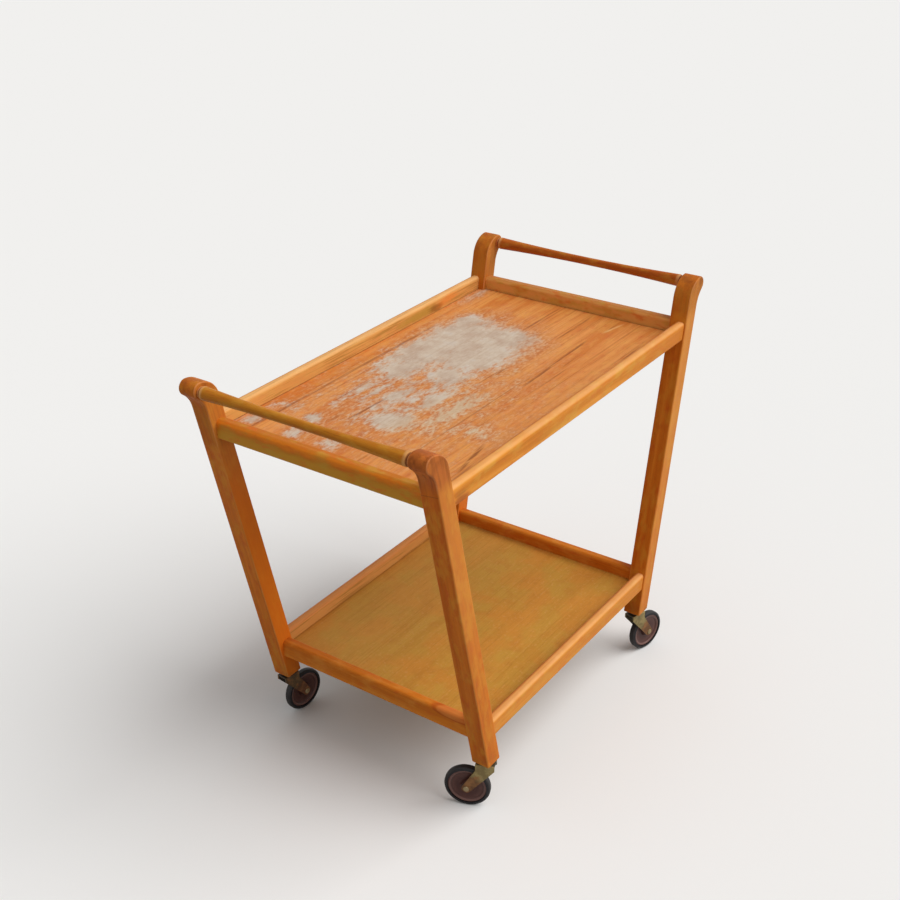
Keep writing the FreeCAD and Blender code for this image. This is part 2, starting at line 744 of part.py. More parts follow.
pieces = []
foot_x = leg_middle_x(FOOT)
for corner, (end, side, heading) in CORNERS.items():
    leg_y = LEG_Y if side > 0 else -LEG_Y
    pieces.append(make_leg(f"leg_{corner}", leg_y, -side * end, turned=end < 0))
    for piece, make in CASTOR_PIECES.items():
        body = new_body(f"{piece}_{corner}", foot_x if end > 0 else -foot_x, leg_y, heading=heading)
        make(body)
        pieces.append(body)
for name, tray in TRAYS.items():
    pieces.append(make_long_rail(f"{name}_rail_front", tray, turned=False))
    pieces.append(make_long_rail(f"{name}_rail_back", tray, turned=True))
    pieces.append(make_end_rail(f"{name}_rail_right", tray, turned=False))
    pieces.append(make_end_rail(f"{name}_rail_left", tray, turned=True))
    pieces.append(make_panel(f"{name}_panel", tray))
pieces.append(make_bar("handle_bar_right", turned=False))
pieces.append(make_bar("handle_bar_left", turned=True))
doc.recompute()


# Every object sound, every cut a cut, and every piece written to its own file

def check_document():
    for thing in doc.Objects:
        if {"Invalid", "Error"} & set(thing.State):
            raise RuntimeError(f"{thing.Label}: {thing.State}")
    for body in pieces:
        if body.Shape.isNull() or not body.Shape.isValid() or len(body.Shape.Solids) != 1:
            raise RuntimeError(f"{body.Label}: not one sound solid")
        volume = 0.0
        for step in body.Group:
            if not step.isDerivedFrom("PartDesign::Feature"):
                continue
            if "Subtractive" in step.TypeId and step.Shape.Volume >= volume:
                raise RuntimeError(f"{step.Label}: cut nothing")
            volume = step.Shape.Volume


check_document()
os.makedirs("parts", exist_ok=True)
for body in pieces:
    body.Shape.exportStep(f"parts/{body.Label}.step")
whole = Part.makeCompound([body.Shape for body in pieces]).optimalBoundingBox(False)
print(f"{len(pieces)} pieces, {whole.XLength:.1f} x {whole.YLength:.1f} x {whole.ZLength:.1f} mm")
print(f"x from {whole.XMin:.2f}, y from {whole.YMin:.2f}, z from {whole.ZMin:.3f}")
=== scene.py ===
# %% [markdown]
# A worn teak tea trolley, dressed for its portrait. The packed model brings every wooden and metal piece
# at its real size, in metres, and the shapes are already right. So this lesson is about finish: each
# piece gets a material drawn by nodes, because nodes follow the wood at any distance and need no picture
# files.

# %% Load the trolley
import json
import math
from functools import reduce

import bpy
from mathutils import Matrix, Vector


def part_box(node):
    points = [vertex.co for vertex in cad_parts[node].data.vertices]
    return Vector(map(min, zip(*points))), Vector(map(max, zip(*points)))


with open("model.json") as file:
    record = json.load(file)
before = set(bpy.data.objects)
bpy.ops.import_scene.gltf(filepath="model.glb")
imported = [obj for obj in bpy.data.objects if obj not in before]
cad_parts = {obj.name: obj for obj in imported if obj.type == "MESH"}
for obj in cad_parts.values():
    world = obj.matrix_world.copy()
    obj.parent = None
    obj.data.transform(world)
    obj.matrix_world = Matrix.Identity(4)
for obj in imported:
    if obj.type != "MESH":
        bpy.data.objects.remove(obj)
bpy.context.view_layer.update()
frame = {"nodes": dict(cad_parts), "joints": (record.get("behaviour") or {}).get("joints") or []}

# %% [markdown]
# The camera stands in front of the left end, well above the handles, and looks down along the trolley.
# Its place can be guessed by eye, but straight edges give it away: the long rails, the end rails and the
# legs each run to a point of their own. The numbers below come from such a fit. The small tilt is that
# of a camera held in the hand.

# %% Camera
CAMERA_PLACE = Vector((-1.3441, -0.9361, 1.2621))
HEADING, DOWN, TILT = (math.radians(angle) for angle in (35.571, 27.688, -1.037))
LENS_MM, SENSOR_MM = 53.0, 36.0

ahead = Vector((math.cos(HEADING), math.sin(HEADING), 0.0))
forward = ahead * math.cos(DOWN) - Vector((0.0, 0.0, math.sin(DOWN)))
level = Vector((math.sin(HEADING), -math.cos(HEADING), 0.0))
upright = level.cross(forward)
right = level * math.cos(TILT) + upright * math.sin(TILT)
up = upright * math.cos(TILT) - level * math.sin(TILT)
turned = Matrix((right, up, -forward)).transposed().to_4x4()

camera = bpy.data.objects.new("camera", bpy.data.cameras.new("camera"))
camera.data.sensor_width = SENSOR_MM
camera.data.lens = LENS_MM
camera.matrix_world = Matrix.Translation(CAMERA_PLACE) @ turned
bpy.context.scene.collection.objects.link(camera)
bpy.context.scene.camera = camera
print("camera", [round(v, 3) for v in camera.location], "lens", LENS_MM)

# %% [markdown]
# A material is a graph, and graphs are tedious to wire by hand. One small class helps: it wraps an
# output socket, so that a sum or a product of two of them adds a Math node and gives back its socket.
# Anything else, such as noise or a mix of colours, comes from a single method, node.

# %% Shader wires


class Wire:
    """An output socket of a material. Arithmetic on it adds Math nodes."""

    def __init__(self, socket):
        self.socket = socket

    @classmethod
    def node(cls, graph, kind, settings=None, inputs=None, out=0):
        """A new node: its settings first, then values or wires for its sockets."""
        node = graph.nodes.new("ShaderNode" + kind)
        for name, value in (settings or {}).items():
            setattr(node, name, value)
        for name, value in (inputs or {}).items():
            if isinstance(value, Wire):
                graph.links.new(value.socket, node.inputs[name])
            else:
                node.inputs[name].default_value = value
        return cls(node.outputs[out])

    def add(self, kind, settings, inputs, out=0):
        """A new node in the graph of this wire."""
        return self.node(self.socket.id_data, kind, settings, inputs, out)

    def math(self, operation, *values):
        """A Math node on wires or numbers."""
        return self.add("Math", {"operation": operation}, dict(enumerate(values)))

    def __add__(self, other):
        return self.math("ADD", self, other)

    def __sub__(self, other):
        return self.math("SUBTRACT", self, other)

    def __rsub__(self, other):
        return self.math("SUBTRACT", other, self)

    def __mul__(self, other):
        return self.math("MULTIPLY", self, other)

    def __truediv__(self, other):
        return self.math("DIVIDE", self, other)

    def __rtruediv__(self, other):
        return self.math("DIVIDE", other, self)

    def __neg__(self):
        return self * -1.0

    def __abs__(self):
        return self.math("ABSOLUTE", self)

    __radd__ = __add__
    __rmul__ = __mul__

    def most(self, other):
        """The larger of the two at each point."""
        return self.math("MAXIMUM", self, other)

    def between(self, low, high):
        """0 below low, 1 above high, and a soft step from one to the other."""
        settings = {"interpolation_type": "SMOOTHSTEP"}
        return self.add("MapRange", settings, {"Value": self, "From Min": low, "From Max": high})

    def tint(self, colour, other):
        """The first colour where this wire is 0, the other where it is 1."""
        # A Mix node has sockets for every kind of value: 6 and 7 take colours, and output 2 gives one
        settings = {"data_type": "RGBA", "clamp_factor": True}
        return self.add("Mix", settings, {0: self, 6: colour, 7: other}, out=2)


print("wires know", sum(1 for name in vars(Wire) if callable(getattr(Wire, name))), "methods")

# %% [markdown]
# Tones are easiest to choose in a picture program, which shows red, green and blue from 0 to 255. Shaders
# count light instead, so every tone is turned from the one scale into the other on its way in.

# %% Tones


def paint(red, green, blue):
    """A colour as a picture program shows it, 0 to 255, in the linear values that shaders use."""
    def linear(value):
        value /= 255
        return value / 12.92 if value <= 0.04045 else ((value + 0.055) / 1.055) ** 2.4
    return (linear(red), linear(green), linear(blue), 1.0)


print("mid teak is", [round(v, 3) for v in paint(212, 124, 44)])

# %% [markdown]
# Every finish starts from the place of a point on the piece. The pieces sit at the origin with their
# place in the mesh, so Object coordinates are metres on the trolley itself, and they stay with a castor
# when it turns. A finish is closed at its shader: what is the same all over is set straight on a socket,
# what varies is wired, and relief becomes a bump.

# %% Start and close a finish
BUMP_STRENGTH = 0.5


def start_finish(name):
    """A new material, and the wires of x, y and z on the piece."""
    material = bpy.data.materials.new(name)
    material.use_nodes = True
    places = Wire.node(material.node_tree, "TexCoord", out="Object")
    return material, [places.add("SeparateXYZ", {}, {"Vector": places}, axis) for axis in range(3)]


def close_finish(material, steady, varied, relief=None, depth=0.0002):
    """Set the steady values of the shader, wire the varied ones, and raise the relief by a bump."""
    graph = material.node_tree
    shader = graph.nodes["Principled BSDF"]
    for name, value in steady.items():
        shader.inputs[name].default_value = value
    for name, wire in varied.items():
        graph.links.new(wire.socket, shader.inputs[name])
    if relief is not None:
        bump = relief.add("Bump", {}, {"Strength": BUMP_STRENGTH, "Distance": depth, "Height": relief})
        graph.links.new(bump.socket, shader.inputs["Normal"])
    print("finish:", material.name, len(graph.nodes), "nodes")
    return material


# %% [markdown]
# Wear is never even, so most masks begin with noise. Noise drawn out along one axis gives the fibres of
# wood, and even noise gives clouds. The other masks follow the shape: which way a surface faces, how near
# a point is to a chosen spot, and on which side of the trolley's middle it lies.

# %% Noise and masks
NOISE_ROUGHNESS = 0.55
FRONT, BACK = (0.0, -1.0, 0.0), (0.0, 1.0, 0.0)
LEFT, UP = (-1.0, 0.0, 0.0), (0.0, 0.0, 1.0)
MIDDLE_GAP = (-0.1, 0.1)


def fibres(stock, length, width, detail=3.0, seed=0.0):
    """Noise with fibres of about that length and width in metres, along the stock."""
    along, across, through = stock
    stretched = {"X": along / length + seed, "Y": across / width, "Z": through / width}
    place = along.add("CombineXYZ", {}, stretched)
    look = {"Vector": place, "Scale": 1.0, "Detail": detail, "Roughness": NOISE_ROUGHNESS}
    return along.add("TexNoise", {}, look)


def cloud(place, size, detail=3.0, seed=0.0):
    """Even noise with lumps of about that size in metres."""
    return fibres(place, size, size, detail, seed)


def facing(material, direction):
    """How squarely a surface faces that way: 1 straight on, 0 edge on, below 0 turned away."""
    normal = Wire.node(material.node_tree, "TexCoord", out="Normal")
    return normal.add("VectorMath", {"operation": "DOT_PRODUCT"}, {0: normal, 1: direction}, "Value")


def spot(place, middle, halves):
    """1 at the rim of an ellipsoid, 0 in its middle, and growing on outside."""
    shares = [(wire - at) / half for wire, at, half in zip(place, middle, halves)]
    off = place[0].add("CombineXYZ", {}, dict(zip("XYZ", shares)))
    return off.add("VectorMath", {"operation": "LENGTH"}, {0: off}, "Value")


def past_middle(wire):
    """0 on the lower side of the trolley's middle and 1 on the upper, for pieces that keep clear of it."""
    return wire.between(*MIDDLE_GAP)


print("masks:", ", ".join(mask.__name__ for mask in (fibres, cloud, facing, spot, past_middle)))

# %% [markdown]
# Each piece of wood was sawn along its own length, so each finish first says which way its stock runs:
# the legs lean by twelve degrees, the long rails lie along X, the end rails and the handle bars along Y.
# Broad bands, fine streaks and short dark pores then make the figure, and old varnish clouds it.

# %% Grain
STREAK_LENGTH, STREAK_WIDTH = 0.12, 0.0016
PORE_LENGTH, PORE_WIDTH = 0.016, 0.0007


def pores(stock, seed):
    """Short dark dashes, the open pores of teak."""
    return fibres(stock, PORE_LENGTH, PORE_WIDTH, detail=1.0, seed=seed).between(0.58, 0.70)


def teak(stock, tones, seed):
    """Colour, streaks and relief of varnished teak, in tones for its dark, mid and pale wood and lines."""
    dark, mid, pale, line = tones
    bands = fibres(stock, length=0.35, width=0.012, seed=seed)
    streaks = fibres(stock, STREAK_LENGTH, STREAK_WIDTH, seed=seed + 7.0)
    mottle = fibres(stock, length=0.06, width=0.022, seed=seed + 13.0)
    dashes = pores(stock, seed)
    colour = bands.between(0.32, 0.66).tint(dark, mid)
    colour = (bands.between(0.56, 0.80) * 0.6).tint(colour, pale)
    colour = (streaks.between(0.52, 0.76) * 0.34).tint(colour, line)
    colour = (mottle.between(0.50, 0.78) * 0.30).tint(colour, dark)
    colour = (dashes * 0.22).tint(colour, line)
    return colour, streaks, streaks * 0.35 - dashes * 0.8


def weathered(colour, stock, ochre, blush, share, seed):
    """Old varnish over wood: soft clouds that have yellowed, and others that have gone red."""
    yellow = fibres(stock, length=0.030, width=0.013, detail=5.0, seed=seed)
    red = fibres(stock, length=0.022, width=0.009, detail=5.0, seed=seed + 19.0)
    colour = (yellow.between(0.46, 0.66) * share).tint(colour, ochre)
    return (red.between(0.52, 0.70) * share).tint(colour, blush)


print("streaks are", round(STREAK_LENGTH / STREAK_WIDTH), "times as long as wide")

# %% [markdown]
# The frame is varnished teak. The varnish is thin and half dull, so only a little white light comes back
# from it and the orange stays deep. These values hold for all the wood, and they don't vary over a piece,
# so they are set straight on the shader. The tones of each kind of piece are those of its dark, mid and
# pale wood and of the lines in it.

# %% Varnish
VARNISH = {"Specular IOR Level": 0.09, "IOR": 1.45}
LEG_TONES = (paint(198, 100, 20), paint(219, 121, 30), paint(232, 144, 48), paint(148, 70, 16))
RAIL_TONES = (paint(216, 128, 40), paint(238, 154, 58), paint(246, 180, 90), paint(176, 98, 34))
END_TONES = (paint(202, 108, 26), paint(222, 128, 36), paint(232, 148, 54), paint(152, 76, 18))
print("varnish", VARNISH)

# %% [markdown]
# The legs come first. Folding x over to its absolute value lets one finish serve both ends, because the
# ends mirror each other. Turned by the lean, the leg is a straight square stick in its own axes. The
# sides that face the front carry a pale painted highlight, with an orange painted fill light low on the
# back pair. The rounded arrises between the sides carry a pale painted highlight as well.

# %% Legs: wood
LEAN = math.radians(12.0)
FRONT_HIGHLIGHT_Z, BACK_FILL_Z = (0.15, 0.45), (0.40, 0.50)
LEG_FRONT_HIGHLIGHT, LEG_BACK_FILL_LIGHT, ARRIS_HIGHLIGHT = paint(242, 172, 88), paint(246, 128, 30), paint(238, 168, 96)

legs, place = start_finish("teak_legs")
x, y, z = place
end_x = abs(x)
along = end_x * math.sin(LEAN) + z * math.cos(LEAN)
across = end_x * math.cos(LEAN) - z * math.sin(LEAN)
stock = (along, across, y)
colour, streaks, relief = teak(stock, LEG_TONES, seed=3.0)
colour = weathered(colour, stock, paint(216, 142, 44), paint(200, 88, 24), share=0.55, seed=27.0)
scuffs = cloud(place, size=0.016)

right_end, back_pair = past_middle(x), past_middle(y)
# Painted highlight: sides facing the front are lightened, more so higher up and at the right end.
front_facing_lit = facing(legs, FRONT).between(0.70, 0.98)
front_highlight = 0.08 + z.between(*FRONT_HIGHLIGHT_Z) * 0.20 + right_end * 0.14
colour = (front_facing_lit * front_highlight).tint(colour, LEG_FRONT_HIGHLIGHT)
# Painted fill light: the lower front sides of the back pair are lit orange.
back_fill_light = back_pair * (1 - z.between(*BACK_FILL_Z))
colour = (front_facing_lit * back_fill_light * 0.60).tint(colour, LEG_BACK_FILL_LIGHT)
# Painted highlight along the rounded arrises, broken up by noise.
side = abs(facing(legs, BACK))
arris = side.between(0.10, 0.45) * (1 - side.between(0.80, 0.98))
colour = (arris * scuffs * 0.6).tint(colour, ARRIS_HIGHLIGHT)
print("legs so far:", len(legs.node_tree.nodes), "nodes")

# %% [markdown]
# The heads are handled most. They have gone dull, with dark lines in the grain, and the head at the near
# corner is the brownest, with a mark across it where old varnish stops. The mark slants, so its height
# falls with y. The feet are scuffed by the floor.

# %% Legs: heads and feet
STOP_Y, STOP_Z, STOP_SLOPE = -0.1606, 0.5318, -0.149
HANDLED_Z = (0.562, 0.588)
FOOT_SCUFF = 0.030
HEAD_TONE, NEAR_HEAD_TONE, HEAD_LINES = paint(178, 104, 36), paint(190, 102, 48), paint(112, 56, 22)
HANDLED, HEAD_ARRIS_HIGHLIGHT = paint(140, 72, 28), paint(230, 156, 108)
STOP_LINE, FOOT_DIRT = paint(120, 58, 20), paint(128, 78, 38)
foot_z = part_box("leg_front_left")[0][2]

near_corner = (1 - right_end) * (1 - back_pair)
above_stop = z - STOP_Z - (y - STOP_Y) * STOP_SLOPE
head = (above_stop + (scuffs - 0.5) * 0.006).between(0.0, 0.020)
colour = (head * (near_corner * 0.30 + 0.40)).tint(colour, near_corner.tint(HEAD_TONE, NEAR_HEAD_TONE))
lines = fibres(stock, length=0.10, width=0.0046, seed=61.0).between(0.46, 0.68)
colour = (head * lines * (near_corner * 0.28 + 0.20)).tint(colour, HEAD_LINES)
handled = z.between(*HANDLED_Z) * scuffs.between(0.38, 0.66)
colour = (handled * 0.55).tint(colour, HANDLED)
# Painted highlight on the arrises of the heads.
colour = (head * arris * scuffs * 0.5).tint(colour, HEAD_ARRIS_HIGHLIGHT)
outward = facing(legs, LEFT).between(0.8, 0.95)
stop_line = (1 - abs(above_stop).between(0.0002, 0.0012)) * near_corner * outward
colour = (stop_line * 0.40).tint(colour, STOP_LINE)

foot = (1 - z.between(foot_z, foot_z + FOOT_SCUFF)) * scuffs.between(0.40, 0.70)
colour = (foot * 0.40).tint(colour, FOOT_DIRT)
rough = 0.44 + streaks * 0.10 + arris * 0.10 + head * 0.06
close_finish(legs, VARNISH, {"Base Color": colour, "Roughness": rough}, relief)

# %% [markdown]
# The long rails are the palest wood of the frame. One finish serves all four: masks tell the front rails
# from the back ones and the top tray from the lower. The back rails are paler still, with long lines in
# their grain, and towards the far end all of them turn orange.

# %% Long rails: wood
FAR_END_X = (0.10, 0.26)
BETWEEN_TRAYS_Z = (0.2, 0.3)
FAR_END_TONE, LOWER_TRAY_TONE = paint(222, 130, 48), paint(214, 138, 62)
BACK_RAIL_TONE, BACK_RAIL_LINES = paint(222, 172, 104), paint(160, 112, 46)

long_rails, stock = start_finish("teak_long_rails")
x, y, z = stock
colour, streaks, relief = teak(stock, RAIL_TONES, seed=11.0)
colour = weathered(colour, stock, paint(226, 170, 72), paint(222, 118, 50), share=0.50, seed=51.0)
back_rail = past_middle(y)
lower_tray = 1 - z.between(*BETWEEN_TRAYS_Z)
lines = fibres(stock, length=0.10, width=0.0030, seed=15.0)
colour = (x.between(*FAR_END_X) * 0.40).tint(colour, FAR_END_TONE)
colour = (lower_tray * 0.30).tint(colour, LOWER_TRAY_TONE)
colour = (back_rail * 0.60).tint(colour, BACK_RAIL_TONE)
colour = (back_rail * lines.between(0.50, 0.64) * 0.55).tint(colour, BACK_RAIL_LINES)
print("long rails so far:", len(long_rails.node_tree.nodes), "nodes")

# %% [markdown]
# The edge that faces up and forward carries a cream painted highlight, and the half turned away from the
# light is painted brown as shade. On the lower back rail that edge is tinted red instead. The knots are
# ellipsoids of darker or greener wood, and one more ellipsoid is painted shade at the front rail's end.

# %% Long rails: edges and knots
SUNWARD = (0.0, -0.45, 0.89)
SHADE_BROWN, CREAM_HIGHLIGHT, RED_EDGE = paint(186, 102, 44), paint(243, 190, 130), paint(222, 122, 62)
front_face_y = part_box("top_rail_front")[0][1]
inner_face_y, back_face_y = (corner[1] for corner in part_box("top_rail_back"))
rail_middle_y = (inner_face_y + back_face_y) / 2
RAIL_MARKS_AND_SHADE = [
    # middle, half sizes in metres, strength, tone
    # The first mark is painted shade at the left end of the front rail, beside the near leg.
    ((-0.2760, front_face_y, 0.5130), (0.015, 0.012, 0.014), 0.75, paint(170, 86, 38)),
    ((-0.1050, front_face_y, 0.5180), (0.036, 0.010, 0.008), 0.40, paint(206, 118, 40)),
    ((0.1280, inner_face_y, 0.5220), (0.046, 0.008, 0.0075), 0.60, paint(168, 138, 48)),
    ((0.1760, inner_face_y, 0.5200), (0.017, 0.008, 0.0060), 0.65, paint(134, 80, 32)),
    ((0.2080, inner_face_y, 0.5240), (0.028, 0.010, 0.0090), 0.45, paint(236, 128, 46)),
]

unevenness = cloud(stock, size=0.03, seed=9.0)
# Painted shade on the sides and top halves turned away from the light.
from_middle = y - (back_rail * 2 - 1) * rail_middle_y
top_beyond = from_middle.between(-0.001, 0.006) * facing(long_rails, UP).between(0.3, 0.9)
shaded_side = facing(long_rails, BACK).between(0.02, 0.45).most(top_beyond)
colour = (shaded_side * 0.75).tint(colour, SHADE_BROWN)
# Painted highlight on the edge facing up and forward, weaker on the lower back rail and shaded side.
sunlit = facing(long_rails, SUNWARD)
lower_back = lower_tray * back_rail
crest = sunlit.between(0.66, 1.0) * (unevenness * 0.7 + 0.10) * (1 - lower_back * 0.8) * (1 - shaded_side * 0.8)
colour = crest.tint(colour, CREAM_HIGHLIGHT)
colour = (sunlit.between(0.3, 0.8) * lower_back * 0.45).tint(colour, RED_EDGE)
for middle, halves, strength, tone in RAIL_MARKS_AND_SHADE:
    edge = spot(stock, middle, halves) + (unevenness - 0.5) * 1.4 + (lines - 0.5) * 1.6
    colour = ((1 - edge.between(0.3, 1.3)) * strength).tint(colour, tone)
close_finish(long_rails, VARNISH, {"Base Color": colour, "Roughness": 0.40 + streaks * 0.12}, relief)

# %% [markdown]
# The end rails are darker. On the top tray the lower part of the left one has turned olive, where old wax
# has gone green, and the upper part of its outer face carries a bright orange painted highlight. The one
# at the far end has bleached. The tops of both are browner.

# %% Top end rails
WAX_LINE_Z = 0.5235
UPPER_ORANGE_HIGHLIGHT, OLIVE_WAX, RAIL_BLEACHED = paint(250, 142, 36), paint(204, 152, 50), paint(242, 178, 100)
LEFT_TOP, RIGHT_TOP = paint(178, 106, 34), paint(176, 98, 44)

top_end_rails, place = start_finish("teak_top_end_rails")
x, y, z = place
stock = (y, x, z)
colour, streaks, relief = teak(stock, END_TONES, seed=17.0)
patches = cloud(place, size=0.035, seed=17.0)
right_end = past_middle(x)
left_end = 1 - right_end
above_wax = z - WAX_LINE_Z + (patches - 0.5) * 0.014
outward = facing(top_end_rails, LEFT).between(0.2, 0.8)
# Painted highlight on the upper part of the left end rail's outer face.
colour = (above_wax.between(-0.002, 0.006) * outward * left_end * 0.70).tint(colour, UPPER_ORANGE_HIGHLIGHT)
upward = facing(top_end_rails, UP).between(0.5, 0.95)
colour = (upward * left_end * 0.45).tint(colour, LEFT_TOP)
waxed = 1 - above_wax.between(-0.006, 0.004)
colour = (waxed * (patches * 0.5 + 0.50)).tint(colour, OLIVE_WAX)
colour = (right_end * 0.70).tint(colour, RAIL_BLEACHED)
colour = (upward * right_end * 0.55).tint(colour, RIGHT_TOP)
colour = weathered(colour, stock, paint(200, 152, 56), paint(216, 104, 34), share=0.55, seed=83.0)
close_finish(top_end_rails, VARNISH, {"Base Color": colour, "Roughness": 0.42 + streaks * 0.12}, relief)

# %% [markdown]
# On the lower tray a shoe has rubbed the left rail pale, close to the near leg. The rub is a long
# ellipsoid on the upper edge, and a redder line is left round it.

# %% Lower end rails
RUB_MIDDLE, RUB_HALVES = (-0.2225, -0.1370, 0.1470), (0.0105, 0.0360, 0.0070)
RUB_PALE, RUB_OUTLINE = paint(224, 134, 76), paint(178, 74, 26)

lower_end_rails, place = start_finish("teak_lower_end_rails")
x, y, z = place
stock = (y, x, z)
colour, streaks, relief = teak(stock, END_TONES, seed=23.0)
colour = weathered(colour, stock, paint(226, 150, 62), paint(206, 92, 32), share=0.46, seed=91.0)
patches = cloud(place, size=0.03, seed=23.0)
edge = spot(place, RUB_MIDDLE, RUB_HALVES) + (patches - 0.5) * 0.4
rub = 1 - edge.between(0.78, 0.98)
colour = (rub * 0.40).tint(colour, RUB_PALE)
outline = 1 - abs(edge - 1.0).between(0.03, 0.20)
colour = (outline * 0.55).tint(colour, RUB_OUTLINE)
rough = 0.42 + streaks * 0.12 + rub * 0.15
close_finish(lower_end_rails, VARNISH, {"Base Color": colour, "Roughness": rough}, relief)

# %% [markdown]
# The handle bars were turned on a lathe and are polished by hands in the middle. The left one has
# yellowed and the right one is redder. A bead ends each bar where it enters a head: the bead and the
# shoulder beside it carry a pale painted highlight, and the groove between the two is painted darker.

# %% Handle bars
BEAD_Y = 0.1569
SHOULDER_Y = (BEAD_Y - 0.0070, BEAD_Y - 0.0030)
BEAD_EDGE, GROOVE_EDGES = 0.0010, (0.0005, 0.0016)
GOLD_TONES = (paint(170, 98, 20), paint(198, 124, 32), paint(214, 146, 48), paint(126, 68, 14))
RED_TONES = (paint(168, 78, 18), paint(190, 98, 28), paint(208, 120, 42), paint(120, 52, 14))
SHOULDER_HIGHLIGHT, BEAD_HIGHLIGHT, GROOVE_DARK = paint(228, 172, 112), paint(206, 112, 66), paint(132, 64, 32)

bars, place = start_finish("teak_handle_bars")
x, y, z = place
stock = (y, x, z)
gold, streaks, relief = teak(stock, GOLD_TONES, seed=31.0)
red = teak(stock, RED_TONES, seed=37.0)[0]
colour = past_middle(x).tint(gold, red)
colour = weathered(colour, stock, paint(206, 148, 52), paint(192, 96, 28), share=0.38, seed=33.0)
shoulder_noise = cloud(place, size=0.010)
end_y = abs(y)
# Pale painted highlight on the shoulder, broken up by noise.
bare_and_shoulder_highlight = (end_y + (shoulder_noise - 0.5) * 0.003).between(*SHOULDER_Y)
colour = (bare_and_shoulder_highlight * (shoulder_noise * 0.6 + 0.25)).tint(colour, SHOULDER_HIGHLIGHT)
# Painted highlight on the bead.
bead = end_y.between(BEAD_Y, BEAD_Y + BEAD_EDGE)
colour = (bead * 0.45).tint(colour, BEAD_HIGHLIGHT)
# The groove is painted darker.
groove = 1 - abs(end_y - BEAD_Y).between(*GROOVE_EDGES)
colour = (groove * 0.75).tint(colour, GROOVE_DARK)
rough = 0.38 + streaks * 0.10 + bare_and_shoulder_highlight * 0.2
close_finish(bars, VARNISH, {"Base Color": colour, "Roughness": rough}, relief)

# %% [markdown]
# The top panel tells the trolley's story: wet things stood here for years. Under the wear lies a striped
# veneer, orange where the varnish has reddened and tan where it has yellowed.

# %% Top panel: veneer
VENEER_DARK, VENEER_PALE = paint(206, 120, 52), paint(225, 150, 80)
VENEER_STRIPE, VENEER_LINE, VENEER_PORE = paint(184, 98, 42), paint(136, 70, 32), paint(144, 78, 38)

top_panel, stock = start_finish("worn_top_panel")
x, y, z = stock
bands = fibres(stock, length=0.50, width=0.022, seed=2.0)
streaks = fibres(stock, length=0.20, width=0.0030, detail=4.0, seed=5.0)
dashes = pores(stock, seed=4.0)
colour = bands.between(0.34, 0.66).tint(VENEER_DARK, VENEER_PALE)
colour = weathered(colour, stock, paint(224, 158, 80), paint(205, 108, 54), share=0.48, seed=97.0)
colour = (streaks.between(0.48, 0.68) * 0.40).tint(colour, VENEER_STRIPE)
colour = (streaks.between(0.62, 0.74) * 0.40).tint(colour, VENEER_LINE)
colour = (dashes * 0.24).tint(colour, VENEER_PORE)
print("veneer:", len(top_panel.node_tree.nodes), "nodes")

# %% [markdown]
# The varnish has flaked away in a large grey patch, ragged along the grain, with islands of orange left
# standing and small pale spots nearby. The patch is a union of listed ellipses, whose rim is broken up
# by noise of two sizes, less so towards the far end.

# %% Top panel: worn places
WORN_PLACES = [
    # middle x, middle y, half length, half width in metres, and strength
    (0.106, 0.084, 0.079, 0.048, 1.00),
    (0.045, 0.090, 0.080, 0.042, 1.10),
    (0.073, 0.030, 0.090, 0.058, 0.95),
    (0.139, 0.030, 0.042, 0.054, 0.90),
    (0.164, 0.105, 0.031, 0.025, 0.80),
    (-0.018, 0.086, 0.052, 0.033, 0.90),
    (0.020, 0.112, 0.070, 0.022, 0.80),
    (-0.010, 0.020, 0.036, 0.034, 0.80),
    (-0.085, 0.014, 0.095, 0.072, 0.32),
    (-0.160, 0.000, 0.028, 0.033, 0.90),
    (-0.105, 0.038, 0.046, 0.014, 0.70),
    (-0.077, -0.009, 0.056, 0.015, 0.72),
    (-0.106, 0.092, 0.050, 0.011, 0.50),
    (-0.100, 0.070, 0.048, 0.012, 0.36),
    (-0.093, -0.048, 0.076, 0.018, 0.52),
    (-0.127, -0.104, 0.022, 0.026, 0.34),
    (-0.209, 0.090, 0.012, 0.012, 0.80),
    (-0.200, 0.142, 0.014, 0.018, 0.34),
    (-0.256, 0.154, 0.015, 0.011, 0.70),
    (-0.254, 0.080, 0.017, 0.013, 0.65),
    (-0.254, 0.025, 0.015, 0.016, 0.50),
    (0.258, 0.158, 0.036, 0.008, 0.36),
]
WEAR_REACH = 1.35
WHOLE_RIM_X = (-0.02, 0.14)
top_panel_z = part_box("top_panel")[1][2]


def nearness(middle_x, middle_y, half_x, half_y, strength):
    """Highest in the middle of an ellipse, 0 a little beyond its rim, and falling on outside."""
    return (WEAR_REACH - spot(stock, (middle_x, middle_y, top_panel_z), (half_x, half_y, 1.0))) * strength


worn = reduce(Wire.most, [nearness(*worn_place) for worn_place in WORN_PLACES])
ragged = fibres(stock, length=0.022, width=0.011, detail=5.0, seed=12.0) - 0.5
flecks = fibres(stock, length=0.0064, width=0.0034, detail=4.0, seed=21.0) - 0.5
broken_up = 1 - x.between(*WHOLE_RIM_X) * 0.5
worn = worn + (ragged * 1.7 + flecks * 1.2) * broken_up
bare_and_shoulder_highlight = worn.between(0.02, 0.72)
fray = worn.between(-0.55, 0.25)
print("worn in", len(WORN_PLACES), "places")

# %% [markdown]
# Bare teak turns grey in the wet, with paler chalk in clouds and darker lines along the grain. Its front
# edge is still cream, and a fringe of loose flakes lies round it. Bare wood is also dull, so the same mask
# raises the roughness later.

